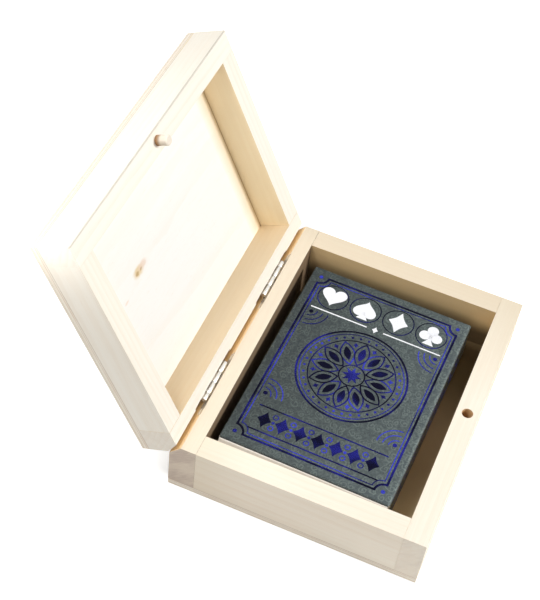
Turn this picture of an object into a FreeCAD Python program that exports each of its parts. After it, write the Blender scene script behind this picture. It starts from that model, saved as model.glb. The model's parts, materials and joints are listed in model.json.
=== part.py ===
"""Hinged wooden box holding one pack of playing cards, with the lid resting open.

Frame, in millimetres: X runs along the hinge, the front (the closure side) faces -Y,
+Z is up, and the origin is the centre of the base's underside.
"""
import FreeCAD, Part
import math
import os

import Sketcher

SIZES = {
    # the pack of cards, which sets the size of everything around it
    "card_length": 88.9,
    "card_width": 63.5,
    "card_thickness": 0.29,
    "card_corner": 3.5,
    "card_count": 54,
    "card_spacing": 0.002,
    "card_end_gap": 0.8,
    "card_side_gap": 0.5,
    "card_top_gap": 0.732,
    "carton_thickness": 0.5,
    "tongue_length": 18.0,
    "tongue_slack": 0.05,
    "tongue_side_gap": 2.0,
    # how the pack lies in the box
    "pack_end_room": 5.2,
    "pack_side_room": 5.9,
    "pack_top_room": 4.0,
    "pack_floor_gap": 0.05,
    "pack_shift_along": -1.1,
    "pack_shift_back": 2.0,
    "pack_turn": -1.1,
    # boards
    "end_wall": 8.6,
    "front_wall": 8.4,
    "hinge_wall": 10.0,
    "panel_thickness": 3.0,
    "lid_inner_depth": 13.0,
    "rim_gap": 0.2,
    # closure dowel
    "dowel_radius": 1.9,
    "dowel_clearance": 0.2,
    "dowel_proud": 4.8,
    "dowel_socket_depth": 7.0,
    "dowel_tip_chamfer": 0.4,
    "hole_bottom_gap": 1.5,
    # hinge line and its bevels
    "open_angle": 115.5,
    "stop_margin": 4.0,
    "hinge_inset": 2.9,
    "base_bevel_lap": 1.4,
    "lid_bevel_lap": 0.9,
    # press-in hinges
    "hinge_end_inset": 31.95,
    "knuckle_length": 5.1,
    "short_knuckle_length": 3.1,
    "knuckle_spacing": 0.2,
    "knuckle_radius": 0.95,
    "pin_radius": 0.45,
    "pin_clearance": 0.05,
    "leaf_thickness": 0.5,
    "leaf_tilt": 45.0,
    "leaf_swing_gap": 0.3,
    "leaf_bottom_gap": 0.25,
    "kerf_radius": 25.0,
    "kerf_reach": 6.7,
    "relief_gap": 0.55,
    "relief_end_room": 5.8,
}

doc = FreeCAD.newDocument("card_box")
sheet = doc.addObject("Spreadsheet::Sheet", "Sizes")
for row, (name, value) in enumerate(SIZES.items(), start=1):
    sheet.set(f"A{row}", name)
    sheet.set(f"B{row}", str(value))
    sheet.setAlias(f"B{row}", name)
doc.recompute()


def size(name):
    """Value of one cell of the sheet."""
    return float(sheet.get(name))


# Sizes that follow from the driving ones, as expressions on the sheet.
CASE_LENGTH = "(Sizes.card_length + 2 * Sizes.card_end_gap + 2 * Sizes.carton_thickness)"
CASE_WIDTH = "(Sizes.card_width + 2 * Sizes.card_side_gap + 2 * Sizes.carton_thickness)"
STACK_HEIGHT = "(Sizes.card_count * (Sizes.card_thickness + Sizes.card_spacing))"
CASE_HEIGHT = f"({STACK_HEIGHT} + Sizes.card_top_gap + 2 * Sizes.carton_thickness)"
CARTON = "Sizes.carton_thickness"

INSIDE_X = f"({CASE_LENGTH} / 2 + Sizes.pack_end_room)"
OUTSIDE_X = f"({INSIDE_X} + Sizes.end_wall)"
BOX_DEPTH = (
    f"({CASE_WIDTH} + 2 * Sizes.pack_side_room + Sizes.front_wall + Sizes.hinge_wall)"
)
BACK = f"({BOX_DEPTH} / 2)"
FRONT = f"(-{BOX_DEPTH} / 2)"
BACK_INSIDE = f"({BACK} - Sizes.hinge_wall)"
FRONT_INSIDE = f"({FRONT} + Sizes.front_wall)"
PANEL = "Sizes.panel_thickness"
BASE_RIM = f"({PANEL} + {CASE_HEIGHT} + Sizes.pack_top_room)"
LID_RIM = f"({BASE_RIM} + Sizes.rim_gap)"
LID_CEILING = f"({LID_RIM} + Sizes.lid_inner_depth)"
LID_TOP = f"({LID_CEILING} + {PANEL})"

PIN_Y = f"({BACK} - Sizes.hinge_inset)"
PIN_Z = f"({BASE_RIM} + Sizes.rim_gap / 2)"
# The bevels' outer edges meet, as the stop, at the open angle plus its margin.
BEVEL_DROP = "(Sizes.hinge_inset * tan((Sizes.open_angle + Sizes.stop_margin) * 1 deg / 2))"

HINGE_LENGTH = (
    "(3 * Sizes.knuckle_length + Sizes.short_knuckle_length + 3 * Sizes.knuckle_spacing)"
)
HINGE_X = f"({OUTSIDE_X} - Sizes.hinge_end_inset)"
PLATE_TOP = "(Sizes.knuckle_radius + Sizes.leaf_swing_gap)"
LEAF_REACH = (
    f"(sqrt(Sizes.kerf_radius ^ 2 - ({HINGE_LENGTH} / 2) ^ 2)"
    " - Sizes.kerf_radius + Sizes.kerf_reach - Sizes.leaf_bottom_gap)"
)
DOWEL_Y = f"({FRONT} + Sizes.front_wall / 2)"


def vector(across, back, up):
    """Expression of a vector from three expressions."""
    return f"create(<<vector>>; {across}; {back}; {up})"


def turned(angle, origin=("0", "0", "0"), about=None, axis=("1", "0", "0")):
    """Expression of a placement: moved to origin and turned about a point given from there."""
    rotation = f"create(<<rotation>>; {vector(*axis)}; {angle})"
    if about is None:
        return f"create(<<placement>>; {vector(*origin)}; {rotation})"
    return f"create(<<placement>>; {vector(*origin)}; {rotation}; {vector(*about)})"


def swung_open(corner=("0", "0", "0")):
    """Placement of a lid piece whose own origin is at corner when the lid is closed."""
    from_corner = ("0", f"{PIN_Y} - ({corner[1]})", f"{PIN_Z} - ({corner[2]})")
    return turned("-Sizes.open_angle", origin=corner, about=from_corner)


def board(label, span_x, span_y, span_z, on_lid=False):
    """A plain board between two values along each axis, described with the lid closed."""
    box = doc.addObject("Part::Box", label)
    for side, (low, high) in zip(("Length", "Width", "Height"), (span_x, span_y, span_z)):
        box.setExpression(side, f"{high} - ({low})")
    corner = (span_x[0], span_y[0], span_z[0])
    box.setExpression("Placement", swung_open(corner) if on_lid else turned("0", corner))
    return box


def new_body(label):
    return doc.addObject("PartDesign::Body", label)


def sketch_on(body, plane_role, name):
    """A sketch attached to one of the body's own origin planes."""
    sketch = body.newObject("Sketcher::SketchObject", f"{body.Name}_{name}")
    plane = [item for item in body.Origin.OriginFeatures if item.Role == plane_role][0]
    sketch.AttachmentSupport = [(plane, "")]
    sketch.MapMode = "FlatFace"
    return sketch


def closed_outline(sketch, corners):
    """A straight-sided outline; each corner is a pair of expressions from the origin."""
    first = sketch.GeometryCount
    count = len(corners)
    ring = [
        FreeCAD.Vector(math.cos(2 * math.pi * i / count), math.sin(2 * math.pi * i / count), 0)
        for i in range(count)
    ]
    for i in range(count):
        sketch.addGeometry(Part.LineSegment(ring[i], ring[(i + 1) % count]))
    for i, (across, up) in enumerate(corners):
        line = first + i
        previous = first + (i - 1) % count
        sketch.addConstraint(Sketcher.Constraint("Coincident", line, 1, previous, 2))
        for kind, value in (("DistanceX", across), ("DistanceY", up)):
            index = sketch.addConstraint(Sketcher.Constraint(kind, -1, 1, line, 1, 1.0))
            sketch.setExpression(f"Constraints[{index}]", value)


def rectangle(sketch, low, high):
    closed_outline(sketch, [low, (high[0], low[1]), high, (low[0], high[1])])


def pad(body, sketch, length):
    """The sketch's outline, as thick as length, half to each side of its plane."""
    feature = body.newObject("PartDesign::Pad", f"{sketch.Name}_pad")
    feature.Profile = sketch
    feature.SideType = "Symmetric"
    feature.setExpression("Length", length)


def turn_profile(body, sketch, kind, axis="H_Axis"):
    """Full-circle Revolution or Groove of a sketch about its axis or one of its edges."""
    feature = body.newObject(f"PartDesign::{kind}", f"{sketch.Name}_{kind.lower()}")
    feature.Profile = sketch
    feature.ReferenceAxis = (sketch, [axis])
    feature.Angle = 360.0


# ---------------------------------------------------------------- walls of base and lid
def hinge_wall(label, rim, panel_side, bevel_lap, cutters, on_lid=False):
    """The long back wall: its outer rim edge is bevelled, and saw kerfs take the hinges."""
    blank = new_body(f"{label}_blank")
    profile = sketch_on(blank, "YZ_Plane", "profile")
    away_from_rim = "+" if on_lid else "-"
    closed_outline(profile, [
        (BACK_INSIDE, panel_side),
        (BACK, panel_side),
        (BACK, f"{rim} {away_from_rim} {BEVEL_DROP}"),
        (f"{PIN_Y} - {bevel_lap}", rim),
        (BACK_INSIDE, rim),
    ])
    pad(blank, profile, f"2 * {OUTSIDE_X}")
    tools = doc.addObject("Part::MultiFuse", f"{label}_cutters")
    tools.Shapes = cutters
    wall = doc.addObject("Part::Cut", label)
    wall.Base = blank
    wall.Tool = tools
    if on_lid:
        wall.setExpression("Placement", swung_open())
    return wall


def front_wall(label, span_z, rim, hole_radius, hole_depth, on_lid=False):
    """The long front wall, with a round blind hole in the middle of its rim."""
    body = new_body(label)
    profile = sketch_on(body, "YZ_Plane", "profile")
    rectangle(profile, (FRONT, span_z[0]), (FRONT_INSIDE, span_z[1]))
    pad(body, profile, f"2 * {OUTSIDE_X}")
    hole = sketch_on(body, "YZ_Plane", "hole")
    bottom = f"{rim} + {hole_depth}" if on_lid else f"{rim} - {hole_depth}"
    low, high = (rim, bottom) if on_lid else (bottom, rim)
    rectangle(hole, (DOWEL_Y, low), (f"{DOWEL_Y} + {hole_radius}", high))
    turn_profile(body, hole, "Groove", "Edge4")
    if on_lid:
        body.setExpression("Placement", swung_open())
    return body


def closure_dowel():
    """Dowel glued in the lid's front rim; its chamfered end enters the base's hole."""
    body = new_body("closure_dowel")
    profile = sketch_on(body, "YZ_Plane", "profile")
    top = f"({LID_RIM} + Sizes.dowel_socket_depth)"
    tip = f"({LID_RIM} - Sizes.dowel_proud)"
    side = f"{DOWEL_Y} + Sizes.dowel_radius"
    closed_outline(profile, [
        (DOWEL_Y, tip),
        (f"{side} - Sizes.dowel_tip_chamfer", tip),
        (side, f"{tip} + Sizes.dowel_tip_chamfer"),
        (side, top),
        (DOWEL_Y, top),
    ])
    turn_profile(body, profile, "Revolution", "Edge5")
    body.setExpression("Placement", swung_open())
    return body


# ---------------------------------------------------------------- press-in hinges
HINGES = {"hinge_1": -1, "hinge_2": 1}  # name and the side of the box that it is on
# The two hinges are fitted end for end: each has its short knuckle towards its own end.
KNUCKLE_ORDER = ("lid", "base", "lid", "base")


def knuckle_spans(side, owner):
    """The stretches of the pin, from the hinge's middle, that the owner's knuckles take."""
    spans = []
    end = f"{HINGE_LENGTH} / 2"
    for place, knuckle_owner in enumerate(KNUCKLE_ORDER):
        width = "Sizes.short_knuckle_length" if place == 0 else "Sizes.knuckle_length"
        inner = f"{end} - {width}"
        if knuckle_owner == owner:
            low, high = (f"-({end})", f"-({inner})") if side < 0 else (inner, end)
            spans.append((low, high))
        end = f"{inner} - Sizes.knuckle_spacing"
    return spans


def hinge_place(side, angle):
    """The hinge's own frame: X along the pin, its leaf towards local -Z before turning."""
    return turned(angle, (f"{side} * {HINGE_X}", PIN_Y, PIN_Z))


LEAF_ANGLE = {"base": "-Sizes.leaf_tilt", "lid": "-(180 - Sizes.leaf_tilt)"}


def hinge_leaf(hinge, side, owner):
    """Stamped leaf: a plate in the kerf, two tabs and the knuckles rolled round the pin."""
    body = new_body(f"{hinge}_{owner}_leaf")
    plate = sketch_on(body, "XZ_Plane", "plate")
    half = f"{HINGE_LENGTH} / 2"
    rectangle(plate, (f"-{half}", f"-{LEAF_REACH}"), (half, f"-{PLATE_TOP}"))
    pad(body, plate, "Sizes.leaf_thickness")
    tabs = sketch_on(body, "XZ_Plane", "tabs")
    knuckles = sketch_on(body, "XZ_Plane", "knuckles")
    for low, high in knuckle_spans(side, owner):
        rectangle(tabs, (low, f"-{PLATE_TOP}"), (high, "-Sizes.pin_radius"))
        rectangle(knuckles, (low, "-Sizes.knuckle_radius"), (high, "-Sizes.pin_radius / 2"))
    pad(body, tabs, "Sizes.leaf_thickness")
    turn_profile(body, knuckles, "Revolution")
    bore = sketch_on(body, "XZ_Plane", "bore")
    clearance = "0" if owner == "base" else "Sizes.pin_clearance"
    bore_radius = f"(Sizes.pin_radius + {clearance})"
    rectangle(bore, (f"-{HINGE_LENGTH}", f"-{bore_radius}"), (HINGE_LENGTH, "0"))
    turn_profile(body, bore, "Groove")
    angle = LEAF_ANGLE[owner] if owner == "base" else f"{LEAF_ANGLE[owner]} - Sizes.open_angle"
    body.setExpression("Placement", hinge_place(side, angle))
    return body


def hinge_pin(hinge, side):
    pin = doc.addObject("Part::Cylinder", f"{hinge}_pin")
    pin.setExpression("Radius", "Sizes.pin_radius")
    pin.setExpression("Height", HINGE_LENGTH)
    start = (f"{side} * {HINGE_X} - {HINGE_LENGTH} / 2", PIN_Y, PIN_Z)
    pin.setExpression("Placement", turned("90", start, axis=("0", "1", "0")))
    return pin


def hinge_cutters(owner):
    """For each hinge, the disc that saws its kerf and the groove that clears its knuckles."""
    cutters = []
    for hinge, side in HINGES.items():
        kerf = doc.addObject("Part::Cylinder", f"{hinge}_{owner}_kerf")
        kerf.setExpression("Radius", "Sizes.kerf_radius")
        kerf.setExpression("Height", "Sizes.leaf_thickness")
        centre = ("0", "-Sizes.leaf_thickness / 2", "Sizes.kerf_radius - Sizes.kerf_reach")
        in_hinge = hinge_place(side, LEAF_ANGLE[owner])
        kerf.setExpression("Placement", f"{in_hinge} * {turned('-90', centre)}")
        relief = doc.addObject("Part::Cylinder", f"{hinge}_{owner}_relief")
        relief.setExpression("Radius", "Sizes.knuckle_radius + Sizes.relief_gap")
        relief.setExpression("Height", f"{HINGE_LENGTH} + 2 * Sizes.relief_end_room")
        start = (
            f"{side} * {HINGE_X} - {HINGE_LENGTH} / 2 - Sizes.relief_end_room", PIN_Y, PIN_Z
        )
        relief.setExpression("Placement", turned("90", start, axis=("0", "1", "0")))
        cutters += [kerf, relief]
    return cutters


# ---------------------------------------------------------------- pack of cards
PACK_ORIGIN = (
    "Sizes.pack_shift_along",
    f"({FRONT_INSIDE} + {BACK_INSIDE}) / 2 + Sizes.pack_shift_back",
    f"{PANEL} + Sizes.pack_floor_gap",
)
PACK_PLACE = turned("Sizes.pack_turn", PACK_ORIGIN, axis=("0", "0", "1"))


def pack_box(name, span_x, span_y, span_z):
    """A rectangular block in the pack's own frame, X along the cards."""
    block = doc.addObject("Part::Box", name)
    for side, (low, high) in zip(("Length", "Width", "Height"), (span_x, span_y, span_z)):
        block.setExpression(side, f"{high} - ({low})")
    corner = turned("0", (span_x[0], span_y[0], span_z[0]))
    block.setExpression("Placement", f"{PACK_PLACE} * {corner}")
    return block


END = f"{CASE_LENGTH} / 2"
EDGE = f"{CASE_WIDTH} / 2"


def tuck_case():
    """Folded carton sleeve with a closed bottom end; the top end is open for the flap."""
    outer = pack_box(
        "tuck_case_outer", (f"-{END}", f"{END} - {CARTON}"), (f"-{EDGE}", EDGE), ("0", CASE_HEIGHT)
    )
    inner = pack_box(
        "tuck_case_inner",
        (f"-{END} + {CARTON}", END),
        (f"-{EDGE} + {CARTON}", f"{EDGE} - {CARTON}"),
        (CARTON, f"{CASE_HEIGHT} - {CARTON}"),
    )
    case = doc.addObject("Part::Cut", "tuck_case")
    case.Base = outer
    case.Tool = inner
    return case


def tuck_flap():
    """The carton's closed top end: an end panel with a tongue tucked under the front."""
    end_panel = pack_box(
        "tuck_flap_end", (f"{END} - {CARTON}", END), (f"-{EDGE}", EDGE), ("0", CASE_HEIGHT)
    )
    ceiling = f"{CASE_HEIGHT} - {CARTON} - Sizes.tongue_slack"
    tongue_edge = f"({EDGE} - {CARTON} - Sizes.tongue_side_gap)"
    tongue = pack_box(
        "tuck_flap_tongue",
        (f"{END} - {CARTON} - Sizes.tongue_length", f"{END} - {CARTON}"),
        (f"-{tongue_edge}", tongue_edge),
        (f"{ceiling} - {CARTON}", ceiling),
    )
    flap = doc.addObject("Part::MultiFuse", "tuck_flap")
    flap.Shapes = [end_panel, tongue]
    return flap


def playing_cards():
    """The stack of cards, each a separate sheet with rounded corners."""
    half_length = size("card_length") / 2
    half_width = size("card_width") / 2
    corner = size("card_corner")
    blank = Part.makeBox(
        2 * half_length, 2 * half_width, size("card_thickness"),
        FreeCAD.Vector(-half_length, -half_width, 0),
    )
    upright = [edge for edge in blank.Edges if abs(edge.tangentAt(edge.FirstParameter).z) > 0.5]
    card = blank.makeFillet(corner, upright)
    pitch = size("card_thickness") + size("card_spacing")
    cards = doc.addObject("Part::Feature", "playing_cards")
    cards.Shape = Part.makeCompound([
        card.translated(FreeCAD.Vector(0, 0, size("carton_thickness") + place * pitch))
        for place in range(int(size("card_count")))
    ])
    cards.setExpression("Placement", PACK_PLACE)
    return cards


# ---------------------------------------------------------------- the assembly
FULL_X = (f"-{OUTSIDE_X}", OUTSIDE_X)
BETWEEN_LONG_WALLS = (FRONT_INSIDE, BACK_INSIDE)
ALL_DEPTH = (FRONT, BACK)
LEFT = (f"-{OUTSIDE_X}", f"-{INSIDE_X}")
RIGHT = (INSIDE_X, OUTSIDE_X)

parts = [
    board("base_bottom_panel", FULL_X, ALL_DEPTH, ("0", PANEL)),
    board("base_left_wall", LEFT, BETWEEN_LONG_WALLS, (PANEL, BASE_RIM)),
    board("base_right_wall", RIGHT, BETWEEN_LONG_WALLS, (PANEL, BASE_RIM)),
    hinge_wall("base_back_wall", BASE_RIM, PANEL, "Sizes.base_bevel_lap", hinge_cutters("base")),
    front_wall(
        "base_front_wall", (PANEL, BASE_RIM), BASE_RIM,
        "Sizes.dowel_radius + Sizes.dowel_clearance",
        "(Sizes.dowel_proud + Sizes.hole_bottom_gap)",
    ),
    board("lid_top_panel", FULL_X, ALL_DEPTH, (LID_CEILING, LID_TOP), on_lid=True),
    board("lid_left_wall", LEFT, BETWEEN_LONG_WALLS, (LID_RIM, LID_CEILING), on_lid=True),
    board("lid_right_wall", RIGHT, BETWEEN_LONG_WALLS, (LID_RIM, LID_CEILING), on_lid=True),
    hinge_wall(
        "lid_back_wall", LID_RIM, LID_CEILING, "Sizes.lid_bevel_lap", hinge_cutters("lid"),
        on_lid=True,
    ),
    front_wall(
        "lid_front_wall", (LID_RIM, LID_CEILING), LID_RIM,
        "Sizes.dowel_radius", "Sizes.dowel_socket_depth", on_lid=True,
    ),
    closure_dowel(),
    tuck_case(),
    tuck_flap(),
    playing_cards(),
]
for hinge, side in HINGES.items():
    parts += [
        hinge_leaf(hinge, side, "base"),
        hinge_leaf(hinge, side, "lid"),
        hinge_pin(hinge, side),
    ]

doc.recompute()
failed = [item.Name for item in doc.Objects if {"Invalid", "Error"} & set(item.State)]
if failed:
    raise RuntimeError(f"features failed: {failed}")

os.makedirs("parts", exist_ok=True)
for part in parts:
    if part.Shape.isNull() or not part.Shape.isValid() or not part.Shape.Solids:
        raise RuntimeError(f"{part.Label} has no valid solid")
    part.Shape.exportStep(f"parts/{part.Label}.step")
    box = part.Shape.BoundBox
    print(
        f"{part.Label:20s} solids {len(part.Shape.Solids):2d}  volume {part.Shape.Volume:9.1f}  "
        f"x {box.XMin:7.2f} {box.XMax:7.2f}  y {box.YMin:7.2f} {box.YMax:7.2f}  "
        f"z {box.ZMin:7.2f} {box.ZMax:7.2f}"
    )
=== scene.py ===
"""Looks of the hinged playing card box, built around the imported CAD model.

The wooden parts, the dowel and the hinges are the CAD nodes themselves, with eased edges and
procedural materials. The card carton is rebuilt here as folded board with its printed face.
Lengths and places are in millimetres, which MM turns into metres once a mesh is finished.
Only the lamps, the camera and the floor's size are given in metres.
"""

import json
import math

import bmesh
import bpy
from mathutils import Matrix, Vector


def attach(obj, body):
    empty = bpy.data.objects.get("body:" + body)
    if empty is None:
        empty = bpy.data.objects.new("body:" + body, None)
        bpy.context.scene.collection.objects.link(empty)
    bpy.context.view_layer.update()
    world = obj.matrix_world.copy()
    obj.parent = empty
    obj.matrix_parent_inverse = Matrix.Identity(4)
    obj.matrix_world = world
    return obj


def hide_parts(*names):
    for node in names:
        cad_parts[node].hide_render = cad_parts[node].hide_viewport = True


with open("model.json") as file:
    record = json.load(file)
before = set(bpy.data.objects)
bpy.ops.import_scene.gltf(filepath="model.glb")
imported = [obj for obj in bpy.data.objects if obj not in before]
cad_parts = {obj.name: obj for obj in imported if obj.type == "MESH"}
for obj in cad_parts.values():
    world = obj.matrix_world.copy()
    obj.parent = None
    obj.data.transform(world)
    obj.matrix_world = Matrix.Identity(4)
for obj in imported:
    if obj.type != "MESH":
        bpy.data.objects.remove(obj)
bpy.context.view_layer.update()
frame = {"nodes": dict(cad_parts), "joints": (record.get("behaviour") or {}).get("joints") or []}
nodes = frame["nodes"]

MM = 0.001


def linear(red, green, blue):
    """An sRGB colour, 0 to 255, as the linear colour that Blender's sockets take."""
    channels = (value / 255 for value in (red, green, blue))
    return tuple(
        c / 12.92 if c <= 0.04045 else ((c + 0.055) / 1.055) ** 2.4 for c in channels
    ) + (1.0,)


# -------- node graphs
class Graph:
    """The node tree of a material or a world, with short calls for the nodes used here."""

    def __init__(self, name, library="materials"):
        self.owner = getattr(bpy.data, library).new(name)
        self.owner.use_nodes = True
        self.tree = self.owner.node_tree
        self.tree.nodes.clear()

    def add(self, kind, inputs, output=0, **settings):
        """Makes a node, sets or links its inputs, and returns one of its outputs, if any."""
        node = self.tree.nodes.new(kind)
        for name, value in settings.items():
            setattr(node, name, value)
        for key, value in inputs.items():
            if isinstance(value, bpy.types.NodeSocket):
                self.tree.links.new(value, node.inputs[key])
            else:
                node.inputs[key].default_value = value
        return node.outputs[output] if len(node.outputs) else node

    def maths(self, operation, first, second=0.0, clamp=False):
        return self.add(
            "ShaderNodeMath", {0: first, 1: second}, operation=operation, use_clamp=clamp
        )

    def plus(self, first, second, clamp=False):
        return self.maths("ADD", first, second, clamp)

    def minus(self, first, second):
        return self.maths("SUBTRACT", first, second)

    def times(self, first, second):
        return self.maths("MULTIPLY", first, second)

    def apart(self, first, second):
        """The distance between two values."""
        return self.maths("ABSOLUTE", self.minus(first, second))

    def vector(self, operation, first, second=(0, 0, 0), output=0):
        return self.add(
            "ShaderNodeVectorMath", {0: first, 1: second}, output, operation=operation
        )

    def parts(self, vector):
        """A vector's components, by the names X, Y and Z."""
        return self.add("ShaderNodeSeparateXYZ", {0: vector}).node.outputs

    def place(self, vector, location=(0, 0, 0), rotation=(0, 0, 0), scale=(1, 1, 1)):
        angles = tuple(math.radians(angle) for angle in rotation)
        return self.add(
            "ShaderNodeMapping",
            {"Vector": vector, "Location": location, "Rotation": angles, "Scale": scale},
        )

    def object_mm(self):
        """The place of a point in its object, in millimetres."""
        place = self.add("ShaderNodeTexCoord", {}, "Object")
        return self.place(place, scale=(1 / MM, 1 / MM, 1 / MM))

    def noise(self, vector, scale, detail=2.0, roughness=0.5):
        """Noise with a frequency per millimetre along each axis of the vector."""
        stretched = self.place(vector, scale=scale)
        inputs = {"Vector": stretched, "Scale": 1.0, "Detail": detail, "Roughness": roughness}
        return self.add("ShaderNodeTexNoise", inputs, "Fac")

    def span(self, value, low, high, to_low=0.0, to_high=1.0, smooth=True):
        """The value moved from low..high to to_low..to_high, and held at the ends."""
        kind = "SMOOTHSTEP" if smooth else "LINEAR"
        inputs = {0: value, 1: low, 2: high, 3: to_low, 4: to_high}
        return self.add("ShaderNodeMapRange", inputs, interpolation_type=kind, clamp=True)

    def mix(self, share, first, second):
        inputs = {0: share, 6: first, 7: second}
        return self.add("ShaderNodeMix", inputs, 2, data_type="RGBA", clamp_factor=True)

    def bump(self, height, depth, strength):
        inputs = {"Height": height, "Strength": strength, "Distance": depth * MM}
        return self.add("ShaderNodeBump", inputs)

    def finish(self, **inputs):
        """Closes the graph with one Principled shader and returns the material."""
        names = {name.replace("_", " "): value for name, value in inputs.items()}
        shader = self.add("ShaderNodeBsdfPrincipled", names)
        self.add("ShaderNodeOutputMaterial", {"Surface": shader})
        return self.owner


# -------- frames of the parts
LID_HINGE = next(joint for joint in frame["joints"] if joint["name"] == "lid_hinge")
OPEN_ANGLE = LID_HINGE["range_deg"][1]
PIN = Vector(LID_HINGE["pos_m"]) / MM
CLOSING = Matrix.Rotation(math.radians(OPEN_ANGLE), 3, "X")
CLOSING_SHIFT = PIN - CLOSING @ PIN


def board_mm(graph, on_lid):
    """Object place in millimetres, with the lid's parts turned back to the closed box."""
    place = graph.object_mm()
    if on_lid:
        place = graph.place(place, tuple(CLOSING_SHIFT), (OPEN_ANGLE, 0, 0))
    return place


def facing(graph, direction, on_lid, low=0.75, high=0.98):
    """1 on the faces that look along a direction, given for the closed box."""
    if on_lid:
        direction = CLOSING.inverted() @ Vector(direction)
    normal = graph.add("ShaderNodeTexCoord", {}, "Normal")
    along = graph.vector("DOT_PRODUCT", normal, tuple(direction), output=1)
    return graph.span(along, low, high)


def spot(graph, place, centre, radii, soft=0.5):
    """1 inside an ellipsoid about a point, fading to 0 at its edge."""
    scale = tuple(1 / radius for radius in radii)
    offset = graph.vector("SUBTRACT", place, centre)
    distance = graph.vector("LENGTH", graph.vector("MULTIPLY", offset, scale), output=1)
    return graph.span(distance, 1 - soft, 1 + soft, 1.0, 0.0)


def off_line(graph, place, y, z):
    """The distance from a line along X."""
    offset = graph.vector("SUBTRACT", place, (0.0, y, z))
    return graph.vector("LENGTH", graph.vector("MULTIPLY", offset, (0, 1, 1)), output=1)


# -------- wood
LIME_PALE = linear(251, 243, 227)
LIME_WARM = linear(243, 228, 208)
# The lid's two tones are a paler copy of the base's: painted light.
LID_LIT_PALE = linear(253, 248, 236)
LID_LIT_WARM = linear(248, 237, 220)
VENEER_PALE = linear(255, 254, 250)
VENEER_WARM = linear(254, 251, 244)
# Painted shade, mixed into the base towards its right end and its hinge side.
LIME_FAR_SHADE = linear(221, 205, 176)
LIME_LATE = linear(226, 205, 174)
LIME_PORE = linear(212, 187, 152)
LIME_END = linear(201, 183, 167)
LIME_GREYED = linear(176, 166, 150)
# The bevel's tan is partly the cut face's own tone, partly painted shade and bounce light.
LIME_BEVEL = linear(250, 220, 168)
# Painted shade inside the dowel's hole.
LIME_BORE = linear(192, 152, 102)
# Painted shade at the dowel's foot.
DOWEL_FOOT_SHADE = linear(140, 98, 52)
# Inner-face tones: INSIDE_LIT is painted bounce light, the others are painted shade.
INSIDE_LIT = linear(249, 213, 128)
INSIDE_SHADE_TAN = linear(226, 189, 122)
INSIDE_SHADE = linear(112, 86, 56)
INSIDE_DEEP_SHADE = linear(64, 48, 30)
# Painted shade on the base panel's upper face in the gaps round the pack.
GAP_SHADE_NEAR = linear(248, 228, 190)
GAP_SHADE_MIDDLE = linear(195, 170, 136)
GAP_SHADE_FAR = linear(116, 97, 64)
KNOT_RIM = linear(226, 196, 134)
KNOT_HEART = linear(186, 148, 92)
KNOT_HALO = linear(238, 212, 190)
GLUE_LINE = linear(150, 112, 74)
SEAM_BROWN = linear(150, 112, 68)
# Painted shade on the lid's ceiling beside its right wall.
SEAM_SHADE_TAN = linear(238, 216, 176)
GROOVE_BROWN = linear(58, 36, 20)

RING_GAP = 2.1
RING_WARP = 2.4
RING_SHARE = 0.15
SEED_STEP = 37.0
# Where the base's painted shade grows: along X to the right end, along Y to the hinges.
SHADE_TO_RIGHT = (5.0, 58.0, 0.0, 0.62)
SHADE_TO_BACK = (12.0, 42.0, 0.0, 0.42)
BEVEL_LOOKS = (0.90, 0.97)
BEVEL_SHARE = 0.7
# How strongly painted shade darkens the low part of an inner face.
DEEP_SHADE_SHARE = 0.9
GREYING_SHARE = 0.55
SHADE_SPOT_SHARE = 0.92

# A hinge's middle along X, the radius of the groove that clears its knuckles, and how far from
# that middle the saw kerf runs out.
HINGE_MIDDLE = 27.6
GROOVE_RADIUS = 1.35
GROOVE_SHARE = 0.95
KERF_END = 11.7


def wood_figure(graph, place, ring_gap, shade, warp_size, ring_share, pale, warm_tone):
    """Colour, normal and roughness of wood whose fibres run along the first axis."""
    # Growth rings: the late wood darkens towards each ring's end, and fades along the board.
    warp = graph.noise(place, (0.006, 0.035, 0.035))
    ripple = graph.noise(place, (0.05, 0.22, 0.22))
    across = graph.vector("MULTIPLY", place, (0.035, 1.0, 1.0))
    radius = graph.vector("LENGTH", across, output=1)
    radius = graph.plus(radius, graph.times(warp, warp_size * ring_gap))
    radius = graph.plus(radius, graph.times(ripple, 0.5 * ring_gap))
    turn = graph.maths("FRACT", graph.maths("DIVIDE", radius, ring_gap))
    late = graph.times(graph.span(turn, 0.25, 0.90), graph.span(turn, 0.92, 1.0, 1.0, 0.0))
    fade = graph.span(graph.noise(place, (0.012, 0.10, 0.10), 1.0), 0.3, 0.7, 0.25, 1.0)
    late = graph.times(late, fade)

    # The tone drifts in fibres, streaks and clouds, crossed by fine pores.
    fibre = graph.noise(place, (0.045, 2.6, 2.6), 4.0, 0.6)
    streak = graph.noise(place, (0.010, 0.55, 0.55))
    cloud = graph.noise(place, (0.014, 0.05, 0.05))
    pores = graph.span(graph.noise(place, (0.30, 5.5, 5.5), 2.0, 0.6), 0.60, 0.78)
    warm = graph.times(graph.span(fibre, 0.35, 0.72), 0.24)
    warm = graph.plus(warm, graph.times(graph.span(streak, 0.38, 0.7), 0.18))
    warm = graph.plus(warm, graph.times(graph.span(cloud, 0.3, 0.75), 0.34))
    warm = graph.plus(warm, shade, clamp=True)
    colour = graph.mix(warm, pale, warm_tone)
    colour = graph.mix(graph.times(late, ring_share), colour, LIME_LATE)
    colour = graph.mix(graph.times(pores, 0.22), colour, LIME_PORE)

    # Raised fibres, sunken pores and the marks of sanding.
    sanding = graph.noise(place, (0.9, 9.0, 9.0), 2.0, 0.7)
    relief = graph.plus(fibre, graph.times(sanding, 0.6))
    relief = graph.minus(relief, graph.times(pores, 0.5))
    normal = graph.bump(relief, 0.05, 0.55)
    rough = graph.span(streak, 0.3, 0.7, 0.56, 0.70)
    return colour, normal, rough


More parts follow.
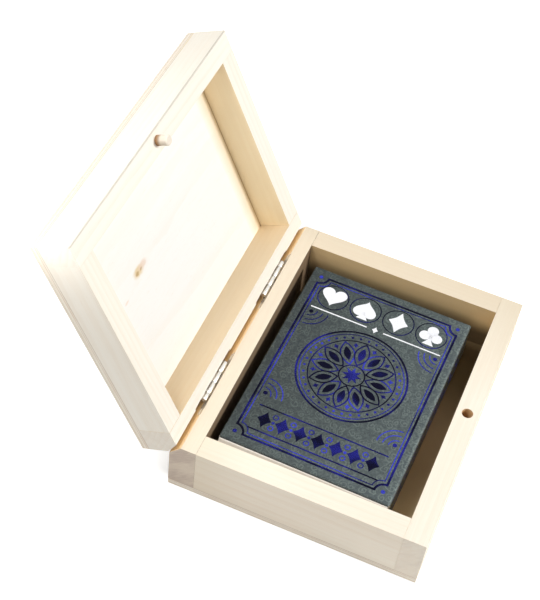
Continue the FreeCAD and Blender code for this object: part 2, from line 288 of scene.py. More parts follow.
def base_painted_shade(graph, board):
    """The share of painted shade in the base's boards, more towards the right end and the hinges.
    """
    axes = graph.parts(board)
    to_right = graph.span(axes["X"], *SHADE_TO_RIGHT, smooth=False)
    return graph.maths("MAXIMUM", to_right, graph.span(axes["Y"], *SHADE_TO_BACK))


def end_grain(graph, board, share):
    """The share of end grain colour: broad growth bands crossed by slanting rays."""
    slanted = graph.place(board, rotation=(38, 0, 0))
    bands = graph.noise(slanted, (0.02, 0.07, 0.20))
    rays = graph.noise(slanted, (0.02, 0.30, 2.4), 3.0)
    bands = graph.span(bands, 0.36, 0.62, 0.55 * share, share)
    return graph.times(bands, graph.span(rays, 0.3, 0.7, 0.78, 1.1))


def pin_shadow(graph, board):
    """1 in the narrow groove round each hinge and where its saw kerf runs out."""
    groove = off_line(graph, board, PIN.y, PIN.z)
    groove = graph.span(groove, GROOVE_RADIUS, GROOVE_RADIUS + 0.35, 1.0, 0.0)
    from_hinge = graph.apart(graph.maths("ABSOLUTE", graph.parts(board)["X"]), HINGE_MIDDLE)
    return graph.times(groove, graph.span(from_hinge, KERF_END, KERF_END + 1.4, 1.0, 0.0))


def lime_wood(
    name, along, pith, on_lid, shade, seed, inside=None, end_share=0.45, ring_gap=RING_GAP,
    deep_shade_heights=None, greying=None, shade_spot=None, bevel=None,
):
    """Solid lime wood: rings about a pith line, fibres along the board, fine pores."""
    graph = Graph(name)
    board = board_mm(graph, on_lid)
    place = graph.place(board, rotation=(0, 0, -90)) if along == "Y" else board
    place = graph.vector("SUBTRACT", place, (seed * SEED_STEP, *pith))
    # The lid's parts and the dowel take the paler tones, which are painted light.
    tones = (LID_LIT_PALE, LID_LIT_WARM) if on_lid else (LIME_PALE, LIME_WARM)
    traits = (ring_gap, shade, RING_WARP, RING_SHARE)
    colour, normal, rough = wood_figure(graph, place, *traits, *tones)
    # Painted shade darkens the base's boards towards the right end and the hinges.
    if not on_lid:
        colour = graph.mix(base_painted_shade(graph, board), colour, LIME_FAR_SHADE)
    if along == "X":
        grain = end_grain(graph, board, end_share)
        for side in (-1, 1):
            ends = facing(graph, (side, 0, 0), on_lid)
            colour = graph.mix(graph.times(ends, grain), colour, LIME_END)
    # The inner face takes painted shade, or painted bounce light on the lid's right wall.
    if inside:
        direction, share, tone = inside
        face = facing(graph, direction, on_lid)
        colour = graph.mix(graph.times(face, share), colour, tone)
        if deep_shade_heights:
            # Painted shade, darker low down on the inner face.
            deep_shade = graph.span(graph.parts(board)["Z"], *deep_shade_heights, DEEP_SHADE_SHARE, 0.0)
            colour = graph.mix(graph.times(face, deep_shade), colour, INSIDE_DEEP_SHADE)
    if greying:
        # Greyer wood within a reach of a line along X; on the dowel this is painted shade towards
        # its foot.
        edge_y, edge_z, reach = greying
        edge = graph.span(off_line(graph, board, edge_y, edge_z), 0.2, reach, GREYING_SHARE, 0.0)
        colour = graph.mix(edge, colour, LIME_GREYED)
    if shade_spot:
        # A shade spot mixes painted shade into the wood.
        *region, tone = shade_spot
        mask = graph.times(spot(graph, board, *region), SHADE_SPOT_SHARE)
        colour = graph.mix(mask, colour, tone)
    if bevel:
        # Tan on the bevel: partly the cut face's tone, partly painted shade and bounce light.
        slope = graph.times(facing(graph, bevel, on_lid, *BEVEL_LOOKS), BEVEL_SHARE)
        colour = graph.mix(slope, colour, LIME_BEVEL)
        groove = graph.times(pin_shadow(graph, board), GROOVE_SHARE)
        colour = graph.mix(groove, colour, GROOVE_BROWN)
    return graph.finish(Base_Color=colour, Roughness=rough, Specular_IOR_Level=0.28, Normal=normal)


# The veneer's growth rings: their gap, base warmth, warp and share.
VENEER_TRAITS = (7.5, 0.0, 3.0, 0.10)
VENEER_STEP = 41.0
VENEER_PITH = (-30.0, -150.0)
CORE_HALF = 0.60
GLUE_HALF = 0.06
SKIN_JOINT = (1.15, 1.4)
JOINT_SHARE = 0.5
GLUE_SHARE = 0.55
KNOT_BEND = (1.4, 1.1, 0.0)
SEAM_SHADE_REACH = 7.7
SEAM_LINE = (0.1, 0.4, 0.3, 0.0)

# Painted shade on the base panel round the pack, darker from the near end of the box to the far
# one: where each tone sets in and where it has its full share, the share, and the tone.
GAP_SHADE_TONES = (
    (-46.0, -14.0, 1.0, GAP_SHADE_MIDDLE),
    (0.0, 34.0, 1.0, GAP_SHADE_FAR),
    (36.0, 44.0, 0.5, INSIDE_DEEP_SHADE),
)


def plywood(name, middle, on_lid, seed, blemishes=(), gap_shade_tones=(), seam=None):
    """Three-ply panel: veneer faces along X, a cross-grained core and two glue lines."""
    graph = Graph(name)
    board = board_mm(graph, on_lid)
    axes = graph.parts(board)
    above = graph.minus(axes["Z"], middle)
    depth = graph.maths("ABSOLUTE", above)
    place = graph.vector("SUBTRACT", board, (seed * VENEER_STEP, *VENEER_PITH))
    colour, normal, rough = wood_figure(graph, place, *VENEER_TRAITS, VENEER_PALE, VENEER_WARM)
    upper = facing(graph, (0, 0, 1), on_lid)
    # The upper face takes painted shade, darker towards the far end.
    if gap_shade_tones:
        gap = GAP_SHADE_NEAR
        for start, full, share, tone in gap_shade_tones:
            gap = graph.mix(graph.span(axes["X"], start, full, 0.0, share), gap, tone)
        colour = graph.mix(upper, colour, gap)

    core_place = graph.place(board, rotation=(0, 0, -90))
    core_fibre = graph.noise(core_place, (0.08, 1.6, 1.6), 3.0)
    core = graph.mix(graph.span(core_fibre, 0.3, 0.75), LIME_PALE, LIME_WARM)
    flat = graph.plus(upper, facing(graph, (0, 0, -1), on_lid))
    skin = graph.times(flat, graph.span(depth, CORE_HALF, CORE_HALF + GLUE_HALF))
    colour = graph.mix(skin, core, colour)
    # On the panel's edges, glue shows between the plies and where the panel meets the walls.
    joint = graph.times(graph.minus(1.0, flat), graph.span(depth, *SKIN_JOINT))
    colour = graph.mix(graph.times(joint, JOINT_SHARE), colour, GLUE_LINE)
    glue = graph.times(
        graph.span(depth, CORE_HALF - GLUE_HALF, CORE_HALF),
        graph.span(depth, CORE_HALF + 0.08, CORE_HALF + 0.14, 1.0, 0.0),
    )
    colour = graph.mix(graph.times(glue, GLUE_SHARE), colour, GLUE_LINE)
    if seam:
        # Painted shade browns the lid's ceiling towards its joint with the right wall; the joint
        # is a brown line.
        inner_side = graph.span(above, -1.4, -1.1, 1.0, 0.0)
        seam_shade = graph.span(axes["X"], seam - SEAM_SHADE_REACH, seam, smooth=False)
        colour = graph.mix(graph.times(seam_shade, inner_side), colour, SEAM_SHADE_TAN)
        line = graph.span(graph.apart(axes["X"], seam), *SEAM_LINE)
        colour = graph.mix(graph.times(line, inner_side), colour, SEAM_BROWN)
    if blemishes:
        wobble = graph.noise(board, (0.5, 0.9, 0.9), 3.0)
        bent = graph.vector("ADD", board, graph.vector("MULTIPLY", wobble, KNOT_BEND))
        bent = graph.vector("SUBTRACT", bent, tuple(bend / 2 for bend in KNOT_BEND))
        for centre, radii, tone, share in blemishes:
            mask = graph.times(spot(graph, bent, centre, radii), share)
            colour = graph.mix(mask, colour, tone)
    return graph.finish(Base_Color=colour, Roughness=rough, Specular_IOR_Level=0.30, Normal=normal)


# -------- metal and card
NICKEL = linear(242, 240, 235)
NICKEL_DULL = linear(214, 210, 202)


def nickel(name):
    """Bright plated steel with fine wear."""
    graph = Graph(name)
    place = graph.object_mm()
    wear = graph.noise(place, (0.9, 2.4, 2.4), 4.0, 0.65)
    lines = graph.noise(place, (0.4, 14.0, 14.0))
    colour = graph.mix(graph.span(wear, 0.45, 0.75), NICKEL, NICKEL_DULL)
    rough = graph.span(wear, 0.3, 0.75, 0.24, 0.40)
    height = graph.bump(graph.plus(lines, wear), 0.01, 0.25)
    return graph.finish(Base_Color=colour, Metallic=1.0, Roughness=rough, Normal=height)


CARD_WHITE = linear(244, 242, 236)
CARD_SHADE = linear(214, 209, 200)


def card_stock(name):
    """White coated card, its layers showing as fine lines on the cut edges."""
    graph = Graph(name)
    place = graph.object_mm()
    fibre = graph.noise(place, (1.2, 1.2, 9.0), 3.0, 0.6)
    colour = graph.mix(graph.span(fibre, 0.35, 0.75), CARD_WHITE, CARD_SHADE)
    rough = graph.span(fibre, 0.3, 0.7, 0.34, 0.48)
    height = graph.bump(fibre, 0.02, 0.4)
    return graph.finish(Base_Color=colour, Roughness=rough, Normal=height)


# -------- edges of CAD nodes
WELD_REACH = 0.004
SHARP_ANGLE = 32


def ease_edges(node, radius):
    """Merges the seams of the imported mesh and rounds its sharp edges."""
    piece = nodes[node]
    weld = piece.modifiers.new("weld", "WELD")
    weld.merge_threshold = WELD_REACH * MM
    bevel = piece.modifiers.new("eased_edges", "BEVEL")
    bevel.width = radius * MM
    bevel.segments = 2
    bevel.limit_method = "ANGLE"
    bevel.angle_limit = math.radians(SHARP_ANGLE)
    bevel.harden_normals = True


def dress(node, material):
    """Gives every face of a CAD node the material."""
    slots = nodes[node].data.materials
    for index in range(len(slots)):
        slots[index] = material


WALL_EASE = 0.16
PANEL_EASE = 0.16
DOWEL_EASE = 0.15
METAL_EASE = 0.06

# Each wall is cut from its own place in the tree, so its rings lie another way. In order: the
# axis that its fibres follow, the pith's place across them, whether the lid carries it, how warm
# it is (on the base's right wall, partly painted shade of its far end), its inner face with the
# share and tone of the painted shade on it (painted bounce light on the lid's right wall), and
# how far end grain darkens it.
WALLS = {
    "base_left_wall": ("Y", (-30.0, -38.0), False, 0.05, ((1, 0, 0), 0.5, INSIDE_SHADE_TAN), 0.45),
    "base_right_wall": ("Y", (-96.0, 40.0), False, 0.45, ((-1, 0, 0), 0.7, INSIDE_SHADE_TAN), 0.45),
    "base_back_wall": ("X", (16.0, -14.0), False, 0.10, ((0, -1, 0), 0.9, INSIDE_SHADE), 1.0),
    "base_front_wall": ("X", (-78.0, -8.0), False, 0.0, ((0, 1, 0), 0.7, INSIDE_SHADE_TAN), 0.3),
    "lid_left_wall": ("Y", (-22.0, 60.0), True, 0.08, ((1, 0, 0), 0.5, INSIDE_SHADE_TAN), 0.3),
    "lid_right_wall": ("Y", (-92.0, 2.0), True, 0.10, ((-1, 0, 0), 0.45, INSIDE_LIT), 0.45),
    "lid_back_wall": ("X", (20.0, 58.0), True, 0.12, ((0, -1, 0), 0.52, INSIDE_SHADE_TAN), 0.2),
    "lid_front_wall": ("X", (-70.0, 62.0), True, 0.0, ((0, 1, 0), 0.5, INSIDE_SHADE_TAN), 0.08),
}

# A shade spot is painted shade: a centre, radii, a softness and a tone. A greying is greyer wood
# about a line along X: the line's Y and Z and its reach. The dowel and its hole are both at
# DOWEL_Y.
DOWEL_Y = -43.65
HOLE_SHADE = ((0.0, DOWEL_Y, 20.9), (2.55, 2.55, 6.2), 0.03, LIME_BORE)
FOOT_SHADE = ((0.0, DOWEL_Y, 24.7), (3.2, 3.2, 2.0), 0.35, DOWEL_FOOT_SHADE)
WALL_DETAILS = {
    # The base's right wall gets painted shade low on its inner face.
    "base_right_wall": {"deep_shade_heights": (9.0, 18.8)},
    "base_back_wall": {"bevel": (0, 0.86, 0.5)},
    "base_front_wall": {"shade_spot": HOLE_SHADE},
    "lid_back_wall": {"bevel": (0, 0.86, -0.5)},
    "lid_front_wall": {"greying": (-47.85, 24.7, 0.65)},
}
for seed, (node, traits) in enumerate(WALLS.items()):
    along, pith, on_lid, shade, inside, end_share = traits
    ease_edges(node, WALL_EASE)
    wood = lime_wood(
        node + "_lime", along, pith, on_lid, shade, seed, inside, end_share,
        **WALL_DETAILS.get(node, {}),
    )
    dress(node, wood)

ease_edges("closure_dowel", DOWEL_EASE)
# The dowel is darker towards its foot: painted shade.
dowel_wood = lime_wood(
    "dowel_beech", "X", (2.0, -9.0), True, 0.9, 9.0, ring_gap=0.9, shade_spot=FOOT_SHADE,
    greying=(DOWEL_Y, 24.7, 7.5),
)
dress("closure_dowel", dowel_wood)

# The knot in the lid's ceiling, on the closed box: centres, radii, tones and shares.
KNOT = (
    ((-23.6, -4.9, 37.7), (3.0, 1.7, 2.0), KNOT_RIM, 0.75),
    ((-20.2, -5.2, 37.7), (2.6, 1.3, 2.0), KNOT_HALO, 0.70),
    ((-24.6, -4.6, 37.7), (1.0, 0.8, 2.0), KNOT_HEART, 0.70),
    ((-21.8, -4.6, 37.7), (0.9, 0.5, 2.0), KNOT_HEART, 0.60),
    ((-35.6, -1.1, 37.7), (1.4, 0.5, 2.0), KNOT_HALO, 0.50),
)

# Heights of the two panels' middles, and where along X the lid panel meets the right wall.
BASE_PANEL_MIDDLE = 1.5
LID_PANEL_MIDDLE = 39.2
LID_SEAM = 50.75
for node in ("base_bottom_panel", "lid_top_panel"):
    ease_edges(node, PANEL_EASE)
base_ply = plywood("base_panel_ply", BASE_PANEL_MIDDLE, False, 1.0, gap_shade_tones=GAP_SHADE_TONES)
dress("base_bottom_panel", base_ply)
lid_ply = plywood("lid_panel_ply", LID_PANEL_MIDDLE, True, 2.0, KNOT, seam=LID_SEAM)
dress("lid_top_panel", lid_ply)

metal = nickel("hinge_nickel")
for node in nodes:
    if node.startswith("hinge_"):
        ease_edges(node, METAL_EASE)
        dress(node, metal)
dress("playing_cards", card_stock("card_edges"))

# -------- card carton
# Where the pack lies and how far it is turned, then the case: half its length, half its width
# and its height. The pack's own axes are u along it, v across it and w up.
PACK_CENTRE = (-1.1, 1.2)
PACK_FLOOR = 3.05
PACK_TURN = -1.1
CASE_END = 45.75
CASE_EDGE = 32.75
CASE_TOP = 17.5
BOARD = 0.5
FOLD = 0.5
FOLD_STEPS = 5
SIDE_FOLD = 0.8
CROWN = 0.16
SMOOTH_ANGLE = 38
PACK_PLACE = (
    Matrix.Translation(Vector((PACK_CENTRE[0], PACK_CENTRE[1], PACK_FLOOR)) * MM)
    @ Matrix.Rotation(math.radians(PACK_TURN), 4, "Z")
)


def pack_piece(name, mesh, materials, smooth=True):
    """A mesh in the pack's own frame, in millimetres, as a piece that moves with the pack."""
    mesh.normal_update()
    bmesh.ops.scale(mesh, vec=(MM, MM, MM), verts=mesh.verts)
    data = bpy.data.meshes.new(name)
    mesh.to_mesh(data)
    mesh.free()
    for polygon in data.polygons:
        polygon.use_smooth = smooth
    if smooth:
        data.set_sharp_from_angle(angle=math.radians(SMOOTH_ANGLE))
    for material in materials:
        data.materials.append(material)
    piece = bpy.data.objects.new(name, data)
    bpy.context.scene.collection.objects.link(piece)
    piece.matrix_world = PACK_PLACE
    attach(piece, "pack")
    return piece


def crown(u, v):
    """How far the front of the carton stands proud of flat, pressed out by the cards."""
    return CROWN * max(0.0, 1 - (u / CASE_END) ** 2) * max(0.0, 1 - (v / CASE_EDGE) ** 2)


def polar(centre, reach, degrees):
    """The point at a distance and an angle from a centre."""
    angle = math.radians(degrees)
    return (centre[0] + reach * math.cos(angle), centre[1] + reach * math.sin(angle))


def arc(centre, radius, start, end, steps):
    """Points of a circular arc, angles in degrees."""
    turn = end - start
    return [polar(centre, radius, start + turn * step / steps) for step in range(steps + 1)]


WIDE_STEPS = 16
SIDE_STEPS = 4
LONG_STEPS = 24


def sleeve_profile(inset):
    """One loop of the sleeve in the (v, w) plane, from the outside or inset by the board."""
    edge, top, radius = CASE_EDGE - inset, CASE_TOP - inset, SIDE_FOLD - inset
    right, high, low = edge - radius, top - radius, inset + radius
    corners = ((right, high), (-right, high), (-right, low), (right, low))
    folds = [
        arc(centre, radius, 90 * turn, 90 * turn + 90, FOLD_STEPS)
        for turn, centre in enumerate(corners)
    ]
    loop = []
    for index, fold in enumerate(folds):
        loop += fold
        last, first = fold[-1], folds[(index + 1) % 4][0]
        count = WIDE_STEPS if index in (0, 2) else SIDE_STEPS
        for step in range(1, count):
            share = step / count
            loop.append(tuple(a + (b - a) * share for a, b in zip(last, first)))
    return loop


def carton_sleeve(printed, core):
    """The four long panels with rounded folds, open at both ends."""
    low, high = -CASE_END + FOLD, CASE_END - FOLD
    mesh = bmesh.new()
    rings = []
    for inset in (0.0, BOARD):
        profile = sleeve_profile(inset)
        ring_set = []
        for number in range(LONG_STEPS + 1):
            u = low + (high - low) * number / LONG_STEPS
            ring = []
            for v, w in profile:
                swell = crown(u, v) if w > CASE_TOP / 2 + 1 else 0.0
                ring.append(mesh.verts.new((u, v, w + swell)))
            ring_set.append(ring)
        rings.append(ring_set)
    count = len(rings[0][0])
    for layer, ring_set in enumerate(rings):
        for first, second in zip(ring_set, ring_set[1:]):
            for index in range(count):
                following = (index + 1) % count
                quad = [first[index], second[index], second[following], first[following]]
                mesh.faces.new(quad if layer else quad[::-1])
    for outer, inner in ((rings[0][end], rings[1][end]) for end in (0, -1)):
        for index in range(count):
            following = (index + 1) % count
            quad = [outer[index], outer[following], inner[following], inner[index]]
            mesh.faces.new(quad).material_index = 1
    bmesh.ops.recalc_face_normals(mesh, faces=mesh.faces)
    return pack_piece("carton_sleeve", mesh, (printed, core))


FLAP_BOARD = 0.35


def folded_board(mesh, path, span, plane, bare=()):
    """A strip of board along a path of outside points; its bare segments show the core."""
    inner = []
    for index, point in enumerate(path):
        before = path[max(0, index - 1)]
        after = path[min(len(path) - 1, index + 1)]
        along = Vector((after[0] - before[0], after[1] - before[1])).normalized()
        inner.append((point[0] + along.y * FLAP_BOARD, point[1] - along.x * FLAP_BOARD))
    rows = []
    for low_high in span:
        rows.append([mesh.verts.new(plane(p, q, low_high)) for p, q in path])
        rows.append([mesh.verts.new(plane(p, q, low_high)) for p, q in inner])
    outer_low, inner_low, outer_high, inner_high = rows
    quads = []
    for now in range(len(path) - 1):
        then = now + 1
        quads += [
            ([outer_low[now], outer_low[then], outer_high[then], outer_high[now]], now in bare),
            ([inner_low[now], inner_high[now], inner_high[then], inner_low[then]], True),
            ([outer_low[now], inner_low[now], inner_low[then], outer_low[then]], True),
            ([outer_high[now], outer_high[then], inner_high[then], inner_high[now]], True),
        ]
    for end in (0, -1):
        quads.append(([outer_low[end], outer_high[end], inner_high[end], inner_low[end]], True))
    made = []
    for quad, shows_core in quads:
        face = mesh.faces.new(quad)
        face.material_index = int(shows_core)
        made.append(face)
    bmesh.ops.recalc_face_normals(mesh, faces=made)


def upright(u, w, v):
    """Places a path of (u, w) points that is swept along v."""
    return (u, v, w)


def bulged(u, w, v):
    """An end flap that stands off the pack, more so towards the hinge side."""
    off = max(0.0, -CASE_END - u)
    return (u + off * (0.4 - 0.4 * v / CASE_EDGE), v, w)


def level(u, v, w):
    """Places a path of (u, v) points that is swept along w."""
    return (u, v, w)


FLAP_EDGE = CASE_EDGE - 0.45
FLAP_SPAN = (-FLAP_EDGE, FLAP_EDGE)
FLAP_LIFT = 2.2
BULGE = 2.0
INNER_FLAP_TOP = 12.0
TONGUE = 18.0
DUST_REACH = 20.0
DUST_SPAN = (0.9, CASE_TOP - 1.1)


def dust_flaps(mesh, end):
    """The two small flaps folded in from the sides behind an end flap."""
    for side in (-1, 1):
        outside = CASE_EDGE - 0.05
        middle = (CASE_END - 2 * FOLD - 0.1, outside - FOLD - 0.2)
        fold = arc(middle, FOLD + 0.1, 0, 90, FOLD_STEPS)[::-1]
        path = fold + [(CASE_END - FOLD - 0.1, outside - DUST_REACH)]
        path = [(end * u, side * v) for u, v in path]
        if end * side < 0:
            path = path[::-1]
        folded_board(mesh, path, DUST_SPAN, level)


def carton_bottom(printed, core):
    """The glued end: an outer flap of bare board over an inner one."""
    mesh = bmesh.new()
    fold = arc((-CASE_END + FOLD, CASE_TOP - FOLD), FOLD, 90, 180, FOLD_STEPS)
    low_edge = (-CASE_END - 0.5, FLAP_LIFT)
    bulge = [(-CASE_END - BULGE, CASE_TOP - FOLD - 1.0), (-CASE_END - BULGE, 10.0)]
    outer = fold + bulge + [low_edge]
    folded_board(mesh, outer[::-1], FLAP_SPAN, bulged, bare=(0, 1, 2))
    inner_face = -CASE_END + 0.40
    low_fold = arc((inner_face + FOLD, FOLD), FOLD, 180, 270, FOLD_STEPS)
    inner = [(inner_face, INNER_FLAP_TOP)] + low_fold
    folded_board(mesh, inner[::-1], FLAP_SPAN, upright)
    dust_flaps(mesh, -1)
    return pack_piece("carton_bottom_flaps", mesh, (printed, core))


def carton_top(printed, core):
    """The tuck end: a flap folded up from the back with its tongue under the front."""
    mesh = bmesh.new()
    ceiling = CASE_TOP - BOARD - 0.05
    low_fold = arc((CASE_END - FOLD, FOLD), FOLD, 270, 360, FOLD_STEPS)
    high_fold = arc((CASE_END - FOLD, ceiling - FOLD), FOLD, 0, 90, FOLD_STEPS)
    path = low_fold + high_fold + [(CASE_END - BOARD - TONGUE, ceiling)]
    folded_board(mesh, path[::-1], FLAP_SPAN, upright)
    dust_flaps(mesh, 1)
    return pack_piece("carton_tuck_flap", mesh, (printed, core))


CARTON_GREY = linear(69, 77, 78)
CARTON_LIGHT = linear(106, 117, 113)
CARTON_FIBRE = linear(54, 60, 62)
SCROLL_CELL = 3.6
SCROLL_PITCH = 1.15
SCROLL_EDGE = (1.4, 2.0)
SCROLL_SHARE = 0.46
HINGE_SIDE_SHADE = 0.66
FRONT_SIDE_LIGHT = 1.36
NEAR_END_LIGHT = 0.22
CREASE_SHADE = 0.62
WORN_AND_SHEEN_LIFT = 0.34


def printed_board(name):
    """Matt grey board with a tone-on-tone print of small scrolls, painted light and shade across
    it, and lighter folds from wear and a painted highlight.
    """
    graph = Graph(name)
    place = graph.object_mm()
    # A spiral about the middle of each cell of a slightly swayed grid.
    sway = graph.noise(place, (0.35, 0.35, 0.35)).node.outputs["Color"]
    swayed = graph.vector("ADD", place, graph.vector("MULTIPLY", sway, (2.6, 2.6, 0.0)))
    cells = graph.place(swayed, scale=(1 / SCROLL_CELL,) * 3)
    inputs = {"Vector": cells, "Scale": 1.0, "Randomness": 0.85}
    cell = graph.add("ShaderNodeTexVoronoi", inputs, voronoi_dimensions="2D").node.outputs
    away = graph.parts(graph.vector("SUBTRACT", cells, cell["Position"]))
    turn = graph.maths("DIVIDE", graph.maths("ARCTAN2", away["Y"], away["X"]), 2 * math.pi)
    distance = graph.times(cell["Distance"], SCROLL_CELL)
    spiral = graph.plus(turn, graph.maths("DIVIDE", distance, SCROLL_PITCH))
    spiral = graph.maths("FRACT", graph.plus(spiral, 4.0))
    line = graph.span(graph.apart(spiral, 0.5), 0.10, 0.24, 1.0, 0.0)
    scroll = graph.times(line, graph.span(distance, *SCROLL_EDGE, 1.0, 0.0))
    fibre = graph.noise(place, (2.2, 2.2, 2.2), 4.0, 0.65)
    mottle = graph.noise(place, (0.9, 0.9, 0.9), 3.0, 0.6)
    colour = graph.mix(graph.span(fibre, 0.35, 0.75), CARTON_GREY, CARTON_FIBRE)
    colour = graph.mix(graph.times(scroll, SCROLL_SHARE), colour, CARTON_LIGHT)
    colour = graph.mix(graph.span(mottle, 0.42, 0.72, 0.0, 0.36), colour, CARTON_LIGHT)
    # Painted shade towards the hinge side, painted light at the near end and painted shade in the
    # crease at the near fold; the long folds are lighter, from wear and a painted highlight.
    axes = graph.parts(place)
    tone = graph.span(
        axes["Y"], -CASE_EDGE, CASE_EDGE, FRONT_SIDE_LIGHT, HINGE_SIDE_SHADE, smooth=False
    )
    tone = graph.plus(tone, graph.span(axes["X"], -CASE_END, -CASE_END + 14, NEAR_END_LIGHT, 0.0))
    crease = graph.span(axes["X"], -CASE_END + 0.1, -CASE_END + 1.1, CREASE_SHADE, 1.0)
    tone = graph.times(tone, crease)
    # Lighter along the long folds: edge wear and a painted highlight.
    edge = graph.span(graph.maths("ABSOLUTE", axes["Y"]), CASE_EDGE - 1.25, CASE_EDGE - 0.5)
    worn_and_sheen = graph.times(edge, graph.span(axes["Z"], CASE_TOP - 1.2, CASE_TOP - 0.5))
    tone = graph.times(tone, graph.plus(graph.times(worn_and_sheen, WORN_AND_SHEEN_LIFT), 1.0))
    colour = graph.add("ShaderNodeVectorMath", {0: colour, "Scale": tone}, operation="SCALE")
    rough = graph.minus(graph.span(fibre, 0.3, 0.7, 0.40, 0.52), graph.times(scroll, 0.08))
    relief = graph.plus(fibre, graph.times(scroll, 0.5))
    height = graph.bump(relief, 0.02, 0.5)
    return graph.finish(Base_Color=colour, Roughness=rough, Specular_IOR_Level=0.2, Normal=height)


BOARD_WHITE = linear(255, 254, 250)
BOARD_FIBRE = linear(247, 241, 231)
BOARD_GAP_SHADE = linear(150, 132, 106)
GAP_SHADE_SLOPE = 0.65


def bare_board(name):
    """Unprinted cream board with visible fibres, with painted shade down in the gap at its end."""
    graph = Graph(name)
    place = graph.object_mm()
    fibre = graph.noise(place, (1.6, 0.7, 5.0), 4.0, 0.65)
    colour = graph.mix(graph.span(fibre, 0.35, 0.75), BOARD_WHITE, BOARD_FIBRE)
    axes = graph.parts(place)
    depth = graph.plus(axes["X"], graph.times(axes["Z"], GAP_SHADE_SLOPE))
    low = -CASE_END + CASE_TOP * GAP_SHADE_SLOPE
    deep_shade = graph.span(depth, low - 1.35, low - 0.35, 0.55, 0.0)
    colour = graph.mix(deep_shade, colour, BOARD_GAP_SHADE)
    rough = graph.span(fibre, 0.3, 0.7, 0.58, 0.72)
    height = graph.bump(fibre, 0.03, 0.5)
    return graph.finish(Base_Color=colour, Roughness=rough, Normal=height)


def foil(name, deep, bright, low, high):
    """Hot-stamped metal foil whose tone moves between two colours, a painted reflection of glints.
    """
    graph = Graph(name)
    place = graph.object_mm()
    # The broad change between the deep and bright colours is a painted reflection.
    glint_drift = graph.noise(place, (0.07, 0.07, 0.07))
    grain = graph.noise(place, (3.0, 3.0, 3.0), 3.0, 0.65)
    share = graph.plus(glint_drift, graph.times(grain, 0.35))
    colour = graph.mix(graph.span(share, low, high), deep, bright)
    rough = graph.span(grain, 0.3, 0.7, 0.20, 0.34)
    height = graph.bump(grain, 0.015, 0.5)
    return graph.finish(Base_Color=colour, Metallic=0.9, Roughness=rough, Normal=height)


COBALT = (linear(20, 20, 84), linear(64, 72, 196), 0.52, 0.80)
NAVY = (linear(9, 9, 34), linear(40, 42, 138), 0.58, 0.88)
INK_WHITE = linear(246, 247, 250)
INK_THIN = linear(222, 225, 234)


def white_ink(name):
    """Opaque white ink, thinner in specks."""
    graph = Graph(name)
    place = graph.object_mm()
    grain = graph.noise(place, (2.5, 2.5, 2.5), 3.0, 0.6)
    colour = graph.mix(graph.span(grain, 0.35, 0.8), INK_WHITE, INK_THIN)
    rough = graph.span(grain, 0.3, 0.7, 0.42, 0.54)
    return graph.finish(Base_Color=colour, Roughness=rough, Normal=graph.bump(grain, 0.01, 0.4))


class Printing:
    """Thin raised shapes on a face of the carton. Places are (right, up) as it is read."""

    SUNK = 0.03  # how deep their feet sit in the board
    LONGEST = 4.0  # the longest straight piece, so that lines follow the crown

    def __init__(self, height, face="front"):
        self.mesh = bmesh.new()
        self.height = height
        self.face = face

    def point(self, right, up, lift):
        """A place on the face as a point of the carton, lifted off the board."""
        if self.face == "front":
            return (up, -right, CASE_TOP + crown(up, right) + lift)
        side = 1 if self.face == "left" else -1
        return (side * right, side * (CASE_EDGE + lift), CASE_TOP / 2 + up)

    def solid(self, loop):
        """A filled shape."""
        top = [self.mesh.verts.new(self.point(r, u, self.height)) for r, u in loop]
        foot = [self.mesh.verts.new(self.point(r, u, -self.SUNK)) for r, u in loop]
        faces = [self.mesh.faces.new(top)]
        for now in range(len(loop)):
            then = (now + 1) % len(loop)
            faces.append(self.mesh.faces.new([top[then], top[now], foot[now], foot[then]]))
        bmesh.ops.recalc_face_normals(self.mesh, faces=faces)
        if faces[0].normal.z < 0 and self.face == "front":
            bmesh.ops.reverse_faces(self.mesh, faces=faces)

    def stroke(self, points, width, closed=True):
        """A line of even width along points, mitred at its corners."""
        count = len(points)
        sides = []
        for index, point in enumerate(points):
            here = Vector(point)
            before = Vector(points[index - 1] if closed or index else points[0])
            after = Vector(points[(index + 1) % count] if closed or index < count - 1 else point)
            first = (here - before).normalized() if (here - before).length > 1e-6 else None
            second = (after - here).normalized() if (after - here).length > 1e-6 else None
            first, second = first or second, second or first
            normal = Vector((-first.y - second.y, first.x + second.x)).normalized()
            square = Vector((-first.y, first.x))
            reach = width / 2 / max(0.35, normal.dot(square))
            sides.append((here + normal * reach, here - normal * reach))
        rows = [
            [self.mesh.verts.new(self.point(left.x, left.y, lift)),
             self.mesh.verts.new(self.point(right.x, right.y, lift))]
            for lift in (self.height, -self.SUNK)
            for left, right in sides
        ]
        top, foot = rows[:count], rows[count:]
        faces = []
        for now in range(count if closed else count - 1):
            then = (now + 1) % count
            faces.append([top[now][1], top[then][1], top[then][0], top[now][0]])
            faces.append([top[now][0], top[then][0], foot[then][0], foot[now][0]])
            faces.append([top[then][1], top[now][1], foot[now][1], foot[then][1]])
        if not closed:
            for end in (0, count - 1):
                faces.append([top[end][0], top[end][1], foot[end][1], foot[end][0]])
        made = [self.mesh.faces.new(face) for face in faces]
        bmesh.ops.recalc_face_normals(self.mesh, faces=made)

    def line(self, start, end, width):
        """A straight line."""
        pieces = max(1, math.ceil((Vector(end) - Vector(start)).length / self.LONGEST))
        points = [
            tuple(a + (b - a) * number / pieces for a, b in zip(start, end))
            for number in range(pieces + 1)
        ]
        self.stroke(points, width, closed=False)

    def ring(self, centre, radius, width, steps):
        self.stroke(arc(centre, radius, 0, 360, steps)[:-1], width)

    def disc(self, centre, radius, steps):
        self.solid(arc(centre, radius, 0, 360, steps)[:-1])

    def piece(self, name, material):
        """Makes one named piece of the shapes drawn so far."""
        made = pack_piece(name, self.mesh, (material,), smooth=False)


